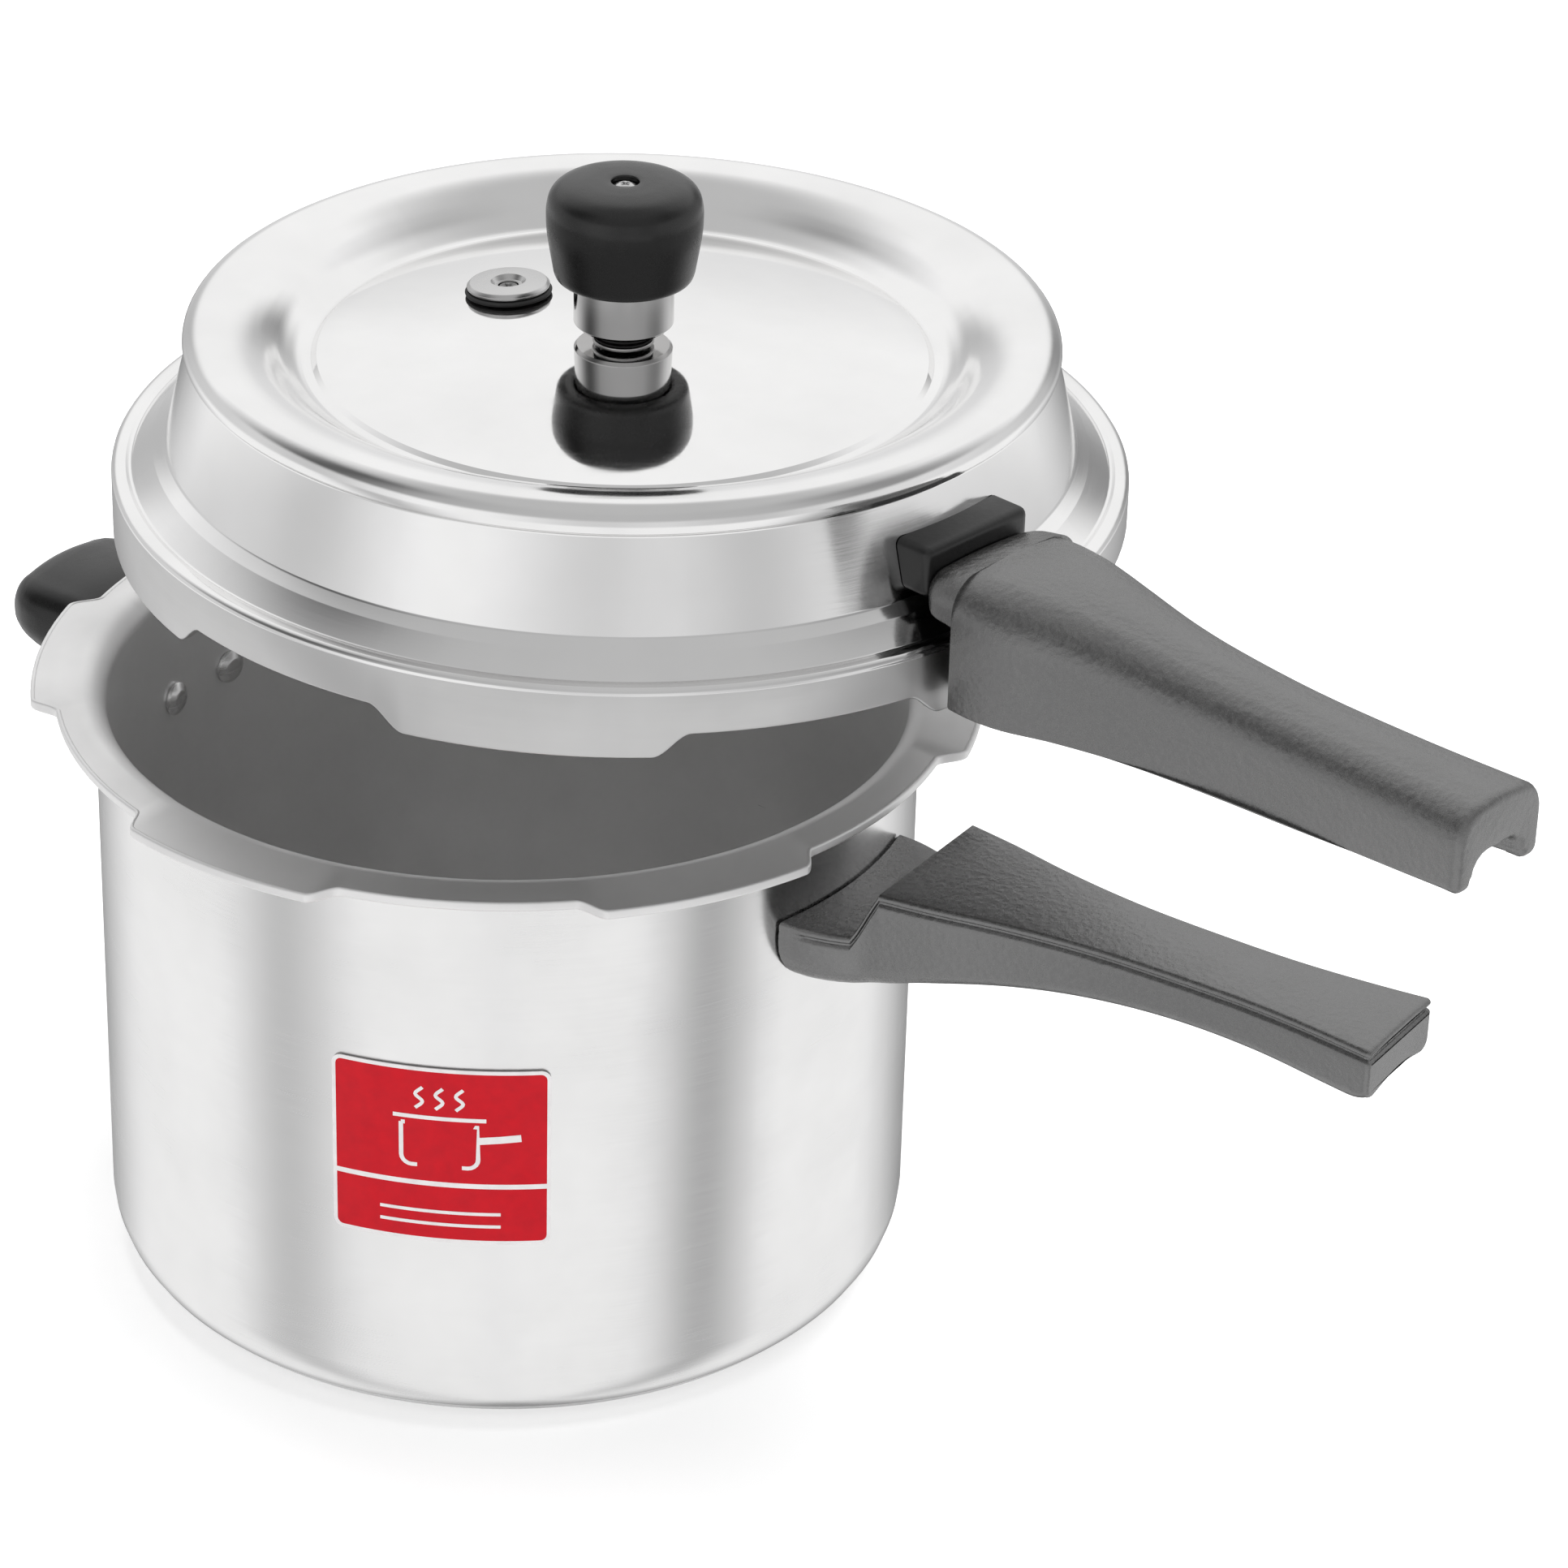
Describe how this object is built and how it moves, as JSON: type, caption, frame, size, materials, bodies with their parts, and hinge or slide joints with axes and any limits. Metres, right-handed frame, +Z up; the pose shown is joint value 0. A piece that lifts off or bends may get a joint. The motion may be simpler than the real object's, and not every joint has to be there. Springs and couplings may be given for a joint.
{
  "type": "stovetop pressure cooker",
  "caption": "Aluminium stovetop pressure cooker with a turn-and-lock outer lid held above the pot, weight regulator, safety plug and bakelite handles.",
  "frame": {"origin": "centre of the pot's flat base, on the surface it stands on", "axes": "+Z up along the pot's axis; +X along the pot's long handle, away from the pot; +Y to the left of it"},
  "size_m": [0.4526, 0.2534, 0.3024],
  "materials": {
    "pot_aluminium": "satin, with softly banded brushing round the body and a matte cast rim",
    "lid_aluminium": "polished pressing",
    "handle_bakelite": "graphite-grey speckled moulding",
    "black_bakelite": "satin black moulding",
    "bracket_steel": "plated sheet steel",
    "lid_bracket_black": "satin black",
    "fastener_steel": "plated",
    "rivet_aluminium": "bright",
    "label_red": "printed sticker",
    "sealing_rubber": "moulded, matte",
    "vent_steel": "machined",
    "weight_chrome": "mirror chrome",
    "plug_steel": "bright plated",
    "fusible_alloy": "dull soft alloy"
  },
  "bodies": {
    "pot": {"pot_shell": "pot_aluminium", "pot_handle_bracket": "bracket_steel", "pot_handle_rivet_near": "rivet_aluminium", "pot_handle_rivet_far": "rivet_aluminium", "pot_handle": "handle_bakelite", "pot_handle_screw": "fastener_steel", "front_label": "label_red", "helper_handle_bracket": "bracket_steel", "helper_handle_rivet_near": "rivet_aluminium", "helper_handle_rivet_far": "rivet_aluminium", "helper_handle": "black_bakelite", "helper_handle_screw": "fastener_steel"},
    "sealing_ring": {"sealing_ring": "sealing_rubber"},
    "lid": {"lid_shell": "lid_aluminium", "lid_handle_bracket": "lid_bracket_black", "lid_handle_rivet_near": "rivet_aluminium", "lid_handle_rivet_far": "rivet_aluminium", "lid_handle": "handle_bakelite", "lid_handle_screw": "fastener_steel", "vent_tube": "vent_steel", "vent_seal": "sealing_rubber", "vent_nut": "vent_steel", "safety_plug_body": "plug_steel", "safety_plug_seal": "sealing_rubber", "safety_plug_nut": "plug_steel", "safety_plug_core": "fusible_alloy"},
    "regulator_pin": {"regulator_pin": "vent_steel"},
    "regulator": {"regulator_weight": "weight_chrome", "regulator_cap": "black_bakelite", "regulator_cap_screw": "fastener_steel"}
  },
  "joints": [
    {"name": "lid_lift", "type": "slide", "parent": "pot", "child": "sealing_ring", "axis": [0.4519, 0.1099, 0.8853], "range_m": [-0.0646, 0.04]},
    {"name": "lid_turn", "type": "hinge", "parent": "sealing_ring", "child": "lid", "pos_m": [0.0292, 0.0071, 0.2184], "axis": [0, 0, 1], "range_deg": [-22, 10]},
    {"name": "weight_lift", "type": "slide", "parent": "lid", "child": "regulator_pin", "axis": [0, 0, 1], "range_m": [0, 0.03]},
    {"name": "weight_spin", "type": "hinge", "parent": "regulator_pin", "child": "regulator", "pos_m": [0.0292, 0.0071, 0.28], "axis": [0, 0, 1], "continuous": true}
  ]
}
